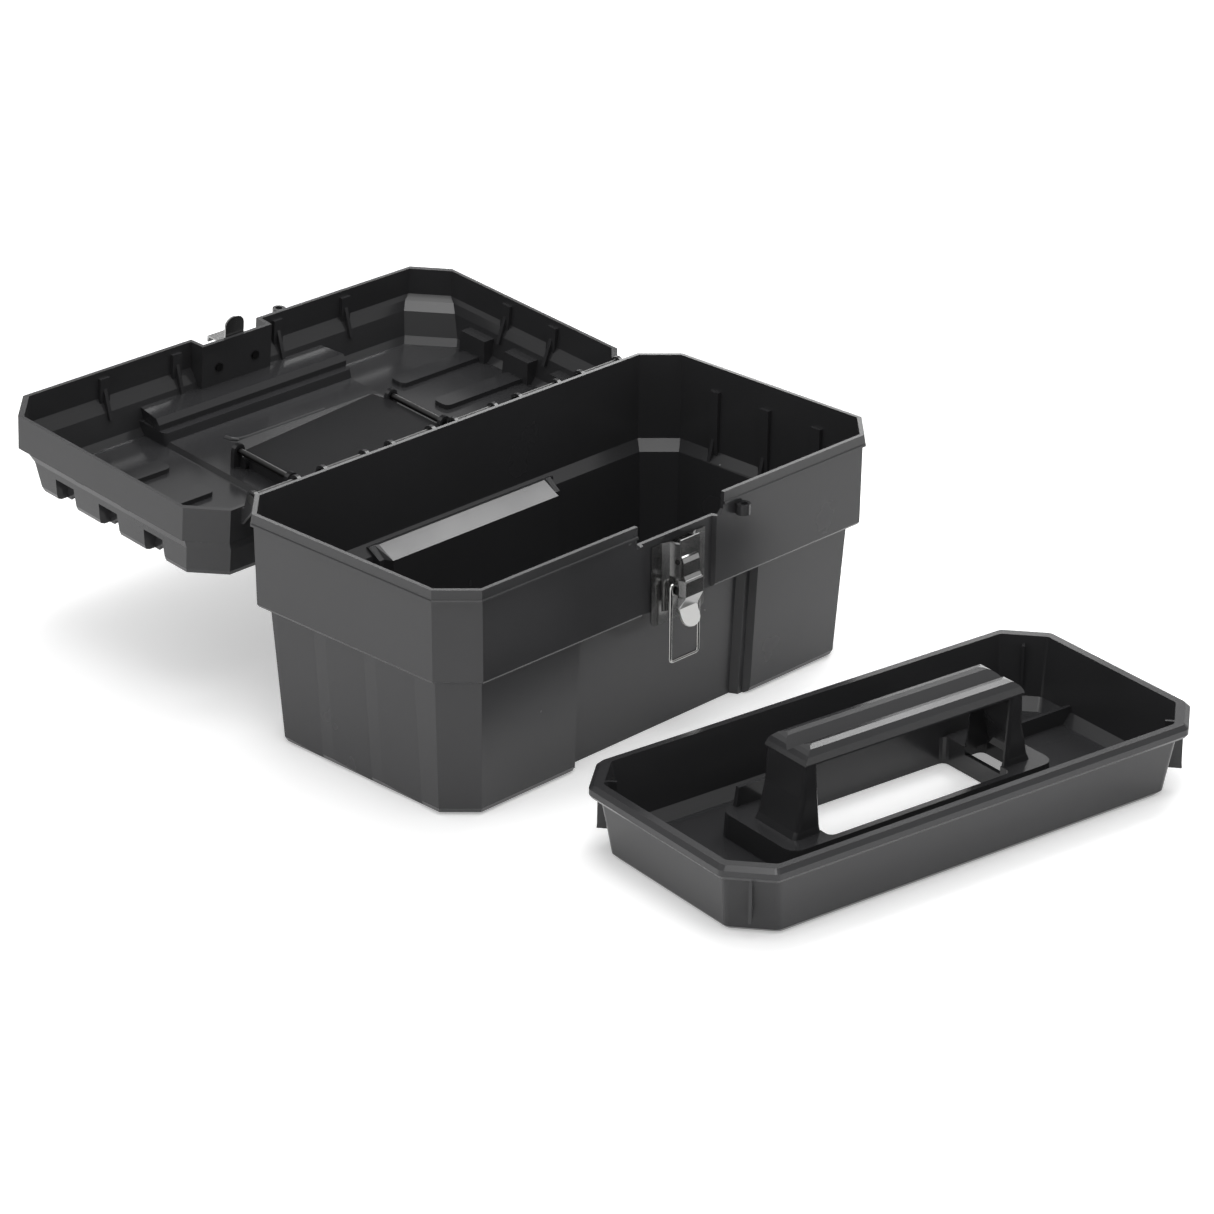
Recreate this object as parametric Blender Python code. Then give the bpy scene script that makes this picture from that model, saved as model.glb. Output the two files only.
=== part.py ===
"""Hand toolbox of black moulded plastic with a steel draw latch and a lift-out tray.

The box stands open: its lid is folded back to the hinge stop and the tray lies on the
floor in front.  X runs along the box, -Y is the latch side, +Z is up, and the origin is
the middle of the box's underside.  Outlines below are in millimetres; every mesh is
built in metres.  Lid parts are drawn as if the lid were shut and then hang on the empty
at the hinge line, which carries the opening angle.
"""
import math

import bmesh
import bpy
from mathutils import Matrix, Vector

MM = 0.001
GAP = 0.3                    # clearance between neighbouring solids

# ---- Driving dimensions, millimetres ------------------------------------------------
BOX_HALF_LENGTH = 177.8      # rim of the body, half of 14 inches
BOX_HALF_WIDTH = 93.65
BOX_CORNER = 19.7            # 45 degree corner cut of the rim
BOX_HEIGHT = 146.3           # rim of the body
COLLAR_FOOT = 88.5           # underside of the wide upper collar
WAIST = 86.0                 # top of the narrower lower body
WALL = 2.5
FLOOR = 3.0

RECESS_HALF = 66.5           # flat part of the recessed front and rear panels
RECESS_STEP = 69.0
RECESS_EDGE = 74.5
RECESS_DEPTH = 9.75
REAR_DROP = 5.8                 # how much lower the rear panel stops

LID_HALF_LENGTH = 179.8
LID_HALF_WIDTH = 95.1
LID_RIM = 146.7              # lower edge of the shut lid
LID_BAND_TOP = 168.5
LID_SHELF = 178.3            # outer face of the lowered front and of the end notches
LID_GROOVE = 190.8           # bottom of the shallow grooves on the end pads
LID_CENTRE = 191.0           # outer face of the middle of the lid
LID_TOP = 193.8              # top of the end pads
LID_OPEN_ANGLE = 174.68      # degrees, at the hinge stop

HINGE_Y = 103.54
HINGE_Z = 138.47
HINGE_PIN_RADIUS = 3.2
HINGE_PIN_CENTRES = (-134.0, -80.0, -26.0, 26.0, 80.0, 134.0)
HINGE_PIN_LENGTH = 37.0

TRAY_HALF_LENGTH = 170.3
TRAY_HALF_WIDTH = 81.0
TRAY_CORNER = 22.2
TRAY_HEIGHT = 45.3
TRAY_CENTRE = (16.74, -244.74)
TRAY_TURN = -9.12            # degrees about Z, as it lies on the floor

LATCH_HALF_WIDTH = 22.0
LATCH_FOOT = 78.4
LATCH_TOP = 128.5
LEVER_AXIS_Z = 117.6
BAIL_AXIS_Y = -97.2
BAIL_AXIS_Z = 103.4
BAIL_HALF_WIDTH = 11.6
BAIL_WIRE = 1.0              # wire radius

HANDLE_AXIS_Y = -7.5
HANDLE_AXIS_Z = 186.9
HANDLE_REACH = 44.0
HANDLE_ARM_X = 50.0

OBJECT_NAME = "toolbox_with_tray"


# ---- Scene and collections ----------------------------------------------------------
for leftover in list(bpy.data.objects):
    bpy.data.objects.remove(leftover, do_unlink=True)

parts = bpy.data.collections.new(OBJECT_NAME)
cutters = bpy.data.collections.new("cutters")
bpy.context.scene.collection.children.link(parts)
bpy.context.scene.collection.children.link(cutters)


def material(name, colour, roughness, metallic=0.0):
    """A plain Principled material."""
    made = bpy.data.materials.new(name)
    made.use_nodes = True
    shader = made.node_tree.nodes["Principled BSDF"]
    shader.inputs["Base Color"].default_value = (*colour, 1.0)
    shader.inputs["Roughness"].default_value = roughness
    shader.inputs["Metallic"].default_value = metallic
    return made


BLACK_BOX = material("black_box_plastic", (0.012, 0.012, 0.013), 0.28)
BLACK_LID = material("black_lid_plastic", (0.012, 0.012, 0.013), 0.24)
BLACK_TRAY = material("black_tray_plastic", (0.012, 0.012, 0.013), 0.22)
BLACK_HANDLE = material("black_handle_plastic", (0.014, 0.014, 0.015), 0.35)
NICKEL = material("bright_nickel_plate", (0.72, 0.72, 0.71), 0.12, 1.0)
NICKEL_LEVER = material("bright_nickel_lever", (0.74, 0.74, 0.73), 0.1, 1.0)
STEEL = material("plain_steel_rod", (0.55, 0.55, 0.56), 0.3, 1.0)


# ---- Building blocks ----------------------------------------------------------------
def octagon(half_x, half_y, corner):
    """Outline of a rectangle with its four corners cut at 45 degrees."""
    quarter = [(half_x, half_y - corner), (half_x - corner, half_y)]
    right = [(x, -y) for x, y in reversed(quarter)] + quarter
    return right + [(-x, -y) for x, y in right]


def rectangle(x_low, x_high, y_low, y_high):
    """Outline of a plain rectangle."""
    return [(x_low, y_low), (x_high, y_low), (x_high, y_high), (x_low, y_high)]


def rounded(outline, radius, steps=3):
    """The outline with each corner replaced by an arc of the given radius."""
    result = []
    count = len(outline)
    for index in range(count):
        corner = Vector(outline[index])
        before = (Vector(outline[index - 1]) - corner).normalized()
        after = (Vector(outline[(index + 1) % count]) - corner).normalized()
        half = before.angle(after) / 2.0
        centre = corner + (before + after).normalized() * radius / math.sin(half)
        reach = radius / math.tan(half)
        start = corner + before * reach - centre
        sweep = start.angle_signed(corner + after * reach - centre)
        for step in range(steps + 1):
            turn = Matrix.Rotation(-sweep * step / steps, 2)
            point = centre + turn @ start
            result.append((point.x, point.y))
    return result


def add_stack(bm, sections, axes="xyz"):
    """Add a closed solid that passes through outlines of equal length.

    A section is (level, outline).  The axes string says where the outline's two
    coordinates and the level go, so "yzx" stacks YZ outlines along X.
    """
    order = ["xyz".index(axis) for axis in axes]
    rings = []
    for level, outline in sections:
        ring = []
        for first, second in outline:
            place = [0.0, 0.0, 0.0]
            for axis, value in zip(order, (first, second, level)):
                place[axis] = value * MM
            ring.append(bm.verts.new(place))
        rings.append(ring)
    faces = [bm.faces.new(rings[0]), bm.faces.new(rings[-1])]
    for low, high in zip(rings, rings[1:]):
        for index in range(len(low)):
            after = (index + 1) % len(low)
            faces.append(bm.faces.new((low[index], low[after], high[after], high[index])))
    bmesh.ops.recalc_face_normals(bm, faces=faces)


def add_cylinder(bm, radius, start, end, sides=24, end_radius=None):
    """Add a cylinder or cone between two points."""
    start = Vector(start) * MM
    end = Vector(end) * MM
    along = end - start
    turn = Vector((0.0, 0.0, 1.0)).rotation_difference(along).to_matrix().to_4x4()
    last = radius if end_radius is None else end_radius
    bmesh.ops.create_cone(
        bm, cap_ends=True, segments=sides, radius1=radius * MM, radius2=last * MM,
        depth=along.length, matrix=Matrix.Translation((start + end) / 2.0) @ turn)


def add_box(bm, low, high):
    """Add a box between two corners."""
    low = Vector(low) * MM
    high = Vector(high) * MM
    size = high - low
    grow = Matrix.Diagonal((size.x, size.y, size.z, 1.0))
    bmesh.ops.create_cube(bm, size=1.0, matrix=Matrix.Translation((low + high) / 2.0) @ grow)


def add_tube(bm, route, radius, sides=12):
    """Add a round wire along a route of points, closed at both ends."""
    rings = []
    guide = None
    for index, point in enumerate(route):
        before = route[max(index - 1, 0)]
        after = route[min(index + 1, len(route) - 1)]
        along = (after - before).normalized()
        if guide is None:
            guide = along.orthogonal().normalized()
        guide = (guide - along * guide.dot(along)).normalized()
        aside = along.cross(guide)
        ring = []
        for step in range(sides):
            angle = 2.0 * math.pi * step / sides
            place = point + (guide * math.cos(angle) + aside * math.sin(angle)) * radius
            ring.append(bm.verts.new(place * MM))
        rings.append(ring)
    faces = [bm.faces.new(rings[0]), bm.faces.new(rings[-1])]
    for low, high in zip(rings, rings[1:]):
        for index in range(sides):
            after = (index + 1) % sides
            faces.append(bm.faces.new((low[index], low[after], high[after], high[index])))
    bmesh.ops.recalc_face_normals(bm, faces=faces)


def finish(name, bm, group, finish_material=None, pivot=None, parent=None):
    """Turn a bmesh into an object whose origin is the pivot, hung on the parent."""
    mesh = bpy.data.meshes.new(name)
    if pivot is not None:
        bmesh.ops.translate(bm, verts=bm.verts, vec=-Vector(pivot) * MM)
    bm.to_mesh(mesh)
    bm.free()
    made = bpy.data.objects.new(name, mesh)
    group.objects.link(made)
    if finish_material is not None:
        mesh.materials.append(finish_material)
    if pivot is not None and parent is None:
        made.location = Vector(pivot) * MM
    if parent is not None:
        made.parent = parent
    if group is cutters:
        made.hide_render = True
        made.display_type = "WIRE"
    return made


def boolean(target, tool, operation="DIFFERENCE"):
    """Cut, join or keep the overlap of the target with the tool."""
    step = target.modifiers.new(tool.name, "BOOLEAN")
    step.operation = operation
    step.solver = "EXACT"
    step.use_self = True
    step.object = tool


def solid(name, build, group, finish_material=None, pivot=None, parent=None):
    """Run a building function on a fresh bmesh and make the object."""
    bm = bmesh.new()
    build(bm)
    return finish(name, bm, group, finish_material, pivot, parent)


def round_shade(made, angle=35.0):
    """Smooth shading that keeps the edges sharper than the angle."""
    made.data.shade_smooth()
    made.data.set_sharp_from_angle(angle=math.radians(angle))


# ---- Body ---------------------------------------------------------------------------
LOWER_FOOT = (165.3, 81.7, 17.1)       # half length, half width, corner at the floor
LOWER_HEAD = (170.4, 86.5, 18.4)       # the same at the waist
COLLAR_LOW = (176.7, 92.8, 19.8)
COLLAR_HIGH = (177.2, 93.1, 19.8)


def lower_wall(z, axis):
    """Half length (axis 0) or half width (axis 1) of the tapering lower body."""
    return LOWER_FOOT[axis] + (LOWER_HEAD[axis] - LOWER_FOOT[axis]) * z / WAIST


def body_outside(bm):
    bead = 1.3
    sections = [
        (0.0, octagon(LOWER_FOOT[0] - 3.6, LOWER_FOOT[1] - 3.6, LOWER_FOOT[2] - 1.4)),
        (1.4, octagon(LOWER_FOOT[0] - 1.2, LOWER_FOOT[1] - 1.2, LOWER_FOOT[2] - 0.4)),
        (4.4, octagon(lower_wall(4.4, 0), lower_wall(4.4, 1), LOWER_FOOT[2])),
        (WAIST, octagon(*LOWER_HEAD)),
        (COLLAR_FOOT, octagon(COLLAR_LOW[0] - 0.8, COLLAR_LOW[1] - 0.8, COLLAR_LOW[2])),
        (COLLAR_FOOT + 1.4, octagon(*COLLAR_LOW)),
        (138.0, octagon(*COLLAR_HIGH)),
        (138.7, octagon(COLLAR_HIGH[0] + bead, COLLAR_HIGH[1] + bead, BOX_CORNER)),
        (140.0, octagon(COLLAR_HIGH[0] + bead, COLLAR_HIGH[1] + bead, BOX_CORNER)),
        (140.6, octagon(BOX_HALF_LENGTH, BOX_HALF_WIDTH, BOX_CORNER)),
        (BOX_HEIGHT, octagon(BOX_HALF_LENGTH, BOX_HALF_WIDTH, BOX_CORNER)),
    ]
    add_stack(bm, sections)


def recess_outline(z, side, wall, widen, depth=RECESS_DEPTH):
    """Plan outline of the recessed panel, grown by a wall on the inner side."""
    face = lower_wall(z, 1)
    outline = [
        (-(RECESS_EDGE + 1.2 + widen), face + 9.0),
        (-(RECESS_EDGE + widen), face - 0.0),
        (-(RECESS_EDGE - 1.8 + widen), face - 0.48 * depth - wall),
        (-(RECESS_STEP + widen), face - 0.48 * depth - wall),
        (-(RECESS_HALF + widen), face - depth - wall),
    ]
    outline += [(-x, y) for x, y in reversed(outline)]
    return [(x, side * y) for x, y in outline]


def recesses(wall, widen, foot, head):
    """The recessed panels of both long sides; the rear one stops lower, under a sloping ledge."""
    def build(bm):
        add_stack(bm, [(z, recess_outline(z, -1.0, wall, widen)) for z in (foot, head)])
        sections = [(z, recess_outline(z, 1.0, wall, widen)) for z in (foot, head - REAR_DROP)]
        if wall > 0.0:
            sections.append((head + 1.0, recess_outline(head + 1.0, 1.0, -1.8, widen, 2.2)))
        add_stack(bm, sections)
    return build


GROOVE_LINES = (-51.0, -9.6, 32.0)     # shingle edges on the end walls, along Y
SHINGLE = 1.5                          # how far each shingle tapers in


def shingles(bm):
    """Wedges that leave each end wall in four overlapping shingles."""
    for side in (-1.0, 1.0):
        for line in GROOVE_LINES:
            sections = []
            for z in (-1.0, WAIST):
                wall = lower_wall(z, 0)
                outline = [
                    (side * (wall + 4.0), line),
                    (side * (wall - SHINGLE), line),
                    (side * (wall + 0.1), line + 34.0),
                    (side * (wall + 4.0), line + 34.0),
                ]
                sections.append((z, outline))
            add_stack(bm, sections)


def body_inside(bm):
    sections = [
        (FLOOR, octagon(LOWER_FOOT[0] - 7.0, LOWER_FOOT[1] - 7.0, LOWER_FOOT[2] - 1.5)),
        (FLOOR + 4.0, octagon(LOWER_FOOT[0] - 2.8, LOWER_FOOT[1] - 2.8, LOWER_FOOT[2] - 1.0)),
        (85.0, octagon(LOWER_HEAD[0] - WALL, LOWER_HEAD[1] - WALL, LOWER_HEAD[2] - 1.0)),
        (91.0, octagon(COLLAR_LOW[0] - WALL, COLLAR_LOW[1] - WALL, COLLAR_LOW[2] - 1.0)),
        (BOX_HEIGHT + 2.0, octagon(BOX_HALF_LENGTH - WALL, BOX_HALF_WIDTH - WALL, 18.6)),
    ]
    add_stack(bm, sections)


LATCH_RECESS_HALF = 29.0
LATCH_RECESS_FACE = -90.4
RIM_GAP_HALF = 35.8
RIM_GAP_FLOOR = 132.5


def latch_recess(wall):
    """Shallow pocket for the latch plate, grown by a wall on the inner side."""
    def build(bm):
        slope = 5.0
        half = LATCH_RECESS_HALF + wall
        outline = [
            (-(half + slope), -99.0), (-half, LATCH_RECESS_FACE + wall),
            (half, LATCH_RECESS_FACE + wall), (half + slope, -99.0),
        ]
        add_stack(bm, [(COLLAR_FOOT - 3.0 - wall, outline), (BOX_HEIGHT + 5.0, outline)])
    return build


def rim_gap(bm):
    """The stretch of front rim that is cut down for the lid's catch."""
    outline = [
        (-(RIM_GAP_HALF - 3.0), RIM_GAP_FLOOR),
        (RIM_GAP_HALF - 3.0, RIM_GAP_FLOOR),
        (RIM_GAP_HALF, RIM_GAP_FLOOR + 3.0),
        (RIM_GAP_HALF, BOX_HEIGHT + 6.0),
        (-RIM_GAP_HALF, BOX_HEIGHT + 6.0),
        (-RIM_GAP_HALF, RIM_GAP_FLOOR + 3.0),
    ]
    add_stack(bm, [(-110.0, outline), (-84.0, outline)], axes="xzy")


TRAY_POSTS = (-42.0, 0.0, 42.0)
POST_HALF = 3.75
POST_TOP = 131.0


def end_posts(bm):
    for side in (-1.0, 1.0):
        for along in TRAY_POSTS:
            post = [(172.2, 89.2), (175.6, 91.0), (175.8, POST_TOP), (172.2, POST_TOP)]
            gusset = [(168.3, 85.6), (170.0, 85.6), (175.4, 90.6), (175.4, 101.0), (172.6, 101.0)]
            for section, half in ((post, POST_HALF), (gusset, 1.2)):
                outline = [(side * x, z) for x, z in section]
                add_stack(bm, [(along - half, outline), (along + half, outline)], axes="xzy")


PADLOCK_X = 49.5
PADLOCK_RADIUS = 4.4


def padlock_eye(bm):
    """Boss with an eye beside the latch, standing out from the collar."""
    add_cylinder(bm, PADLOCK_RADIUS, (PADLOCK_X, -96.4, 129.5), (PADLOCK_X, -96.4, 136.0), 16)
    add_box(bm, (PADLOCK_X - 3.0, -96.4, 129.5), (PADLOCK_X + 3.0, -92.0, 136.0))


def padlock_bore(bm):
    add_cylinder(bm, 2.3, (PADLOCK_X, -96.9, 120.0), (PADLOCK_X, -96.9, 145.0), 16)


KNUCKLE_HALF = 7.0


def knuckles(bm):
    """Six hooks behind the rear collar that the hinge pins turn in."""
    for centre in HINGE_PIN_CENTRES:
        outline = [
            (91.8, 124.0), (94.5, 124.0),
            (HINGE_Y + 3.4, HINGE_Z - 5.6), (HINGE_Y + 5.2, HINGE_Z - 3.8),
            (HINGE_Y + 5.2, HINGE_Z + 0.4), (91.8, HINGE_Z + 0.4),
        ]
        add_stack(bm, [(centre - KNUCKLE_HALF, outline), (centre + KNUCKLE_HALF, outline)], axes="yzx")


def knuckle_bores(bm):
    for centre in HINGE_PIN_CENTRES:
        start = (centre - KNUCKLE_HALF - 2.0, HINGE_Y, HINGE_Z)
        end = (centre + KNUCKLE_HALF + 2.0, HINGE_Y, HINGE_Z)
        add_cylinder(bm, HINGE_PIN_RADIUS + GAP, start, end)


def make_body():
    tub = solid("body_tub", body_outside, parts, BLACK_BOX)
    inside = solid("body_cavity", body_inside, cutters)
    grown = solid("recess_grown", recesses(WALL, WALL, -1.0, WAIST + 2.6), cutters)
    boolean(inside, grown)
    boolean(inside, solid("latch_recess_grown", latch_recess(WALL), cutters))
    for name, build in (
        ("recess_cut", recesses(0.0, 0.0, -2.0, WAIST + 0.4)),
        ("shingle_cut", shingles),
        ("latch_recess_cut", latch_recess(0.0)),
    ):
        boolean(tub, solid(name, build, cutters))
    for name, build in (("knuckle_blocks", knuckles), ("padlock_block", padlock_eye)):
        boolean(tub, solid(name, build, cutters), "UNION")
    boolean(tub, inside)
    boolean(tub, solid("end_post_blocks", end_posts, cutters), "UNION")
    for name, build in (
        ("rim_gap_cut", rim_gap),
        ("knuckle_bores", knuckle_bores),
        ("padlock_bore", padlock_bore),
        ("latch_rivet_holes", latch_rivet_holes),
    ):
        boolean(tub, solid(name, build, cutters))
    return tub


# ---- Latch on the body --------------------------------------------------------------
PLATE_BACK = LATCH_RECESS_FACE - GAP
PLATE_FRONT = PLATE_BACK - 1.2
CHANNEL_FRONT = -101.2
CHANNEL_HALF = 8.0
CHANNEL_SHEET = 1.0
FLANK_FOOT = 108.0
BRIDGE_FOOT = 121.2
BRIDGE_TOP = 131.5
RIVET_LEVELS = (95.0, 124.5)
RIVET_RADIUS = 1.6


def latch_rivet_holes(bm):
    for z in RIVET_LEVELS:
        add_cylinder(bm, RIVET_RADIUS + GAP, (0.0, -95.0, z), (0.0, -84.0, z), 16)


def latch_plate(bm):
    """Back plate with rounded lower corners."""
    half = LATCH_HALF_WIDTH
    foot = [(half, LATCH_TOP), (-half, LATCH_TOP)]
    for step in range(5):
        angle = math.radians(180.0 + 22.5 * step)
        foot.append((-half + 4.0 + 4.0 * math.cos(angle), LATCH_FOOT + 4.0 + 4.0 * math.sin(angle)))
    for step in range(5):
        angle = math.radians(270.0 + 22.5 * step)
        foot.append((half - 4.0 + 4.0 * math.cos(angle), LATCH_FOOT + 4.0 + 4.0 * math.sin(angle)))
    add_stack(bm, [(PLATE_BACK, foot), (PLATE_FRONT, foot)], axes="xzy")


def latch_channel(bm):
    """Two flanks that rise from the plate beside the lever, and their lower roots."""
    for side in (-1.0, 1.0):
        plan = [
            (side * 14.7, PLATE_FRONT + 0.4), (side * 9.4, -94.0), (side * CHANNEL_HALF, CHANNEL_FRONT),
            (side * (CHANNEL_HALF - CHANNEL_SHEET), CHANNEL_FRONT), (side * 7.6, -94.0),
            (side * 7.6, PLATE_FRONT + 0.4),
        ]
        add_stack(bm, [(FLANK_FOOT, plan), (BRIDGE_TOP - 2.6, plan)])
        root = [(side * 14.7, PLATE_FRONT + 0.4), (side * 9.6, -93.7), (side * 8.6, -93.7),
                (side * 8.6, PLATE_FRONT + 0.4)]
        add_stack(bm, [(86.0, root), (FLANK_FOOT + 1.0, root)])


def latch_bridge(bm):
    add_box(bm, (-CHANNEL_HALF, CHANNEL_FRONT, BRIDGE_FOOT),
            (CHANNEL_HALF, CHANNEL_FRONT + CHANNEL_SHEET, BRIDGE_TOP))


def latch_base_cuts(bm):
    """Bores for the two rivets and for the lever pin."""
    for z in RIVET_LEVELS:
        add_cylinder(bm, RIVET_RADIUS + GAP, (0.0, -95.0, z), (0.0, -84.0, z), 16)
    reach = CHANNEL_HALF + 4.0
    add_cylinder(bm, 1.5 + GAP, (-reach, -99.2, LEVER_AXIS_Z), (reach, -99.2, LEVER_AXIS_Z), 16)


def make_latch():
    base = solid("latch_base", latch_plate, parts, NICKEL)
    boolean(base, solid("latch_channel_block", latch_channel, cutters), "UNION")
    boolean(base, solid("latch_bridge_block", latch_bridge, cutters), "UNION")
    boolean(base, solid("latch_base_cuts", latch_base_cuts, cutters))

    axis = (0.0, -99.2, LEVER_AXIS_Z)
    lever = solid("latch_lever", latch_lever, parts, NICKEL_LEVER, pivot=axis)
    boolean(lever, solid("latch_cheek_blocks", latch_cheeks, cutters, pivot=axis), "UNION")
    boolean(lever, solid("latch_tab_block", latch_tab, cutters, pivot=axis), "UNION")
    boolean(lever, solid("latch_lever_bore", latch_lever_bore, cutters, pivot=axis))

    def pin(bm):
        reach = CHANNEL_HALF + 0.1
        add_cylinder(bm, 1.5, (-reach, -99.2, LEVER_AXIS_Z), (reach, -99.2, LEVER_AXIS_Z), 20)
    round_shade(solid("latch_lever_pin", pin, parts, STEEL))

    for name, z in zip(("lower", "upper"), RIVET_LEVELS):
        def rivet(bm, level=z):
            inner = LATCH_RECESS_FACE + WALL + 0.2
            profile = [
                (3.0, PLATE_FRONT - 1.1), (3.0, PLATE_FRONT - GAP), (RIVET_RADIUS, PLATE_FRONT - GAP),
                (RIVET_RADIUS, inner + GAP), (2.8, inner + GAP), (2.8, inner + 1.3),
            ]
            add_turned_y(bm, (0.0, level), profile)
        round_shade(solid("latch_rivet_" + name, rivet, parts, STEEL))
    make_bail()


def add_turned_y(bm, centre, profile, sides=18):
    """A turned solid on an axis along Y; the profile is (radius, y) from front to back."""
    sections = []
    for radius, level in profile:
        ring = []
        for step in range(sides):
            angle = 2.0 * math.pi * step / sides
            ring.append((centre[0] + radius * math.cos(angle), centre[1] + radius * math.sin(angle)))
        sections.append((level, ring))
    add_stack(bm, sections, axes="xzy")


LEVER_HALF = 6.6


def latch_lever(bm):
    """Folded lever: hinge block, stepped grip, angled flange and finger tab."""
    outline = [
        (-95.0, 100.9), (-94.6, 103.4), (-95.6, 108.0), (-97.0, 112.0), (-96.4, LEVER_AXIS_Z),
        (-97.4, LEVER_AXIS_Z + 2.0), (-99.2, LEVER_AXIS_Z + 2.7), (-101.2, LEVER_AXIS_Z + 2.0),
        (-102.4, LEVER_AXIS_Z - 0.6), (-102.6, 108.9), (-104.0, 106.9), (-104.4, 105.2), (-104.4, 96.9),
        (-103.6, 95.4), (-99.6, 88.7), (-98.2, 87.4),
        (-97.9, 88.6), (-102.6, 95.8), (-103.4, 97.2), (-103.4, 100.9),
    ]
    add_stack(bm, [(-LEVER_HALF, outline), (LEVER_HALF, outline)], axes="yzx")


def latch_cheeks(bm):
    """Stepped grip of the lever; its sides are a little wider than its front face."""
    sections = []
    for z, front in ((88.0, -100.5), (95.2, -104.3), (96.6, -104.9), (105.6, -104.9), (106.4, -104.3)):
        shoulder = min(front + 4.4, -99.9)
        sections.append((z, [(-7.2, front), (7.2, front), (8.4, shoulder), (8.4, -99.7),
                             (-8.4, -99.7), (-8.4, shoulder)]))
    add_stack(bm, sections)


def latch_tab(bm):
    """Finger tab with a rounded lower edge, slanting out and down."""
    top = Vector((-98.7, 88.6))
    tip = Vector((-104.6, 76.6))
    down = (tip - top).normalized()
    out = Vector((-down.y, down.x)) * 0.65
    width = []
    for step in range(9):
        angle = math.radians(180.0 + 22.5 * step)
        width.append((7.2 * math.cos(angle), 6.0 * math.sin(angle)))
    outline = [(7.2, -0.9), (-7.2, -0.9)]
    length = (tip - top).length
    outline += [(x, length - 6.0 - z) for x, z in width]
    rings = []
    for face in (-1.0, 1.0):
        ring = []
        for x, reach in outline:
            place = top + down * reach + out * face
            ring.append(bm.verts.new((x * MM, place.x * MM, place.y * MM)))
        rings.append(ring)
    faces = [bm.faces.new(rings[0]), bm.faces.new(rings[1])]
    for index in range(len(outline)):
        after = (index + 1) % len(outline)
        faces.append(bm.faces.new((rings[0][index], rings[0][after], rings[1][after], rings[1][index])))
    bmesh.ops.recalc_face_normals(bm, faces=faces)


def latch_lever_bore(bm):
    reach = CHANNEL_HALF + 3.0
    add_cylinder(bm, 1.5 + GAP, (-reach, -99.2, LEVER_AXIS_Z), (reach, -99.2, LEVER_AXIS_Z), 16)
    for side in (-1.0, 1.0):
        add_cylinder(bm, BAIL_WIRE + GAP, (side * 3.6, BAIL_AXIS_Y, BAIL_AXIS_Z),
                     (side * reach, BAIL_AXIS_Y, BAIL_AXIS_Z), 16)


def make_bail():
    """Closed-end wire loop that hangs in the two flanks of the channel."""
    drop = 48.6
    bend = 2.4
    inner = 4.0                        # the two ends stop short of each other, behind the lever
    corners = [
        (-inner, 0.0, 0.0), (-BAIL_HALF_WIDTH, 0.0, 0.0), (-BAIL_HALF_WIDTH, 0.0, -6.0),
        (-BAIL_HALF_WIDTH, 0.0, -drop), (BAIL_HALF_WIDTH, 0.0, -drop),
        (BAIL_HALF_WIDTH, 0.0, -6.0), (BAIL_HALF_WIDTH, 0.0, 0.0), (inner, 0.0, 0.0),
    ]
    route = [Vector(corners[0])]
    for before, corner, after in zip(corners, corners[1:], corners[2:]):
        corner = Vector(corner)
        back = (Vector(before) - corner)
        ahead = (Vector(after) - corner)
        reach = min(bend, back.length * 0.45, ahead.length * 0.45)
        start = corner + back.normalized() * reach
        end = corner + ahead.normalized() * reach
        for step in range(5):
            t = step / 4.0
            route.append(start * (1 - t) ** 2 + corner * 2 * t * (1 - t) + end * t * t)
    route.append(Vector(corners[-1]))
    place = Vector((0.0, BAIL_AXIS_Y, BAIL_AXIS_Z))
    axis = (0.0, BAIL_AXIS_Y, BAIL_AXIS_Z)

    def build(bm):
        add_tube(bm, [point + place for point in route], BAIL_WIRE)
    bail = solid("latch_bail", build, parts, NICKEL, pivot=axis)
    round_shade(bail, 50.0)


# ---- Lid ----------------------------------------------------------------------------
lid_pivot = bpy.data.objects.new("lid_pivot", None)
parts.objects.link(lid_pivot)
lid_pivot.location = (0.0, HINGE_Y * MM, HINGE_Z * MM)
lid_pivot.rotation_euler = (-math.radians(LID_OPEN_ANGLE), 0.0, 0.0)
LID_ORIGIN = (0.0, HINGE_Y, HINGE_Z)


def lid_piece(name, build, finish_material):
    """A part that is drawn on the shut lid and hangs on the lid's hinge line."""
    return solid(name, build, parts, finish_material, pivot=LID_ORIGIN, parent=lid_pivot)


def lid_tool(name, build):
    return solid(name, build, cutters, pivot=LID_ORIGIN, parent=lid_pivot)


def lid_outline(half_x, front, rear, front_sum, rear_sum):
    """Plan outline of the lid.  The sums are x + y on the cut corners, which set their size."""
    cut_front = half_x + front - front_sum
    cut_rear = half_x + rear - rear_sum
    right = [
        (half_x - cut_front, -front), (half_x, -front + cut_front),
        (half_x, rear - cut_rear), (half_x - cut_rear, rear),
    ]
    return right + [(-x, y) for x, y in reversed(right)]


def lid_outside(bm):
    sections = [
        (LID_RIM, lid_outline(LID_HALF_LENGTH, LID_HALF_WIDTH, LID_HALF_WIDTH, 255.3, 255.3)),
        (LID_BAND_TOP, lid_outline(179.4, 94.7, 94.7, 254.6, 254.6)),
        (LID_BAND_TOP + 0.6, lid_outline(177.6, 92.8, 94.0, 246.6, 253.2)),
        (174.0, lid_outline(176.0, 90.4, 93.6, 239.8, 251.4)),
        (LID_TOP - 4.0, lid_outline(173.6, 84.6, 91.0, 233.4, 246.6)),
        (LID_TOP - 1.2, lid_outline(172.4, 83.4, 90.0, 230.8, 244.6)),
        (LID_TOP, lid_outline(169.6, 80.6, 87.4, 225.6, 240.4)),
    ]
    add_stack(bm, sections)


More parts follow.
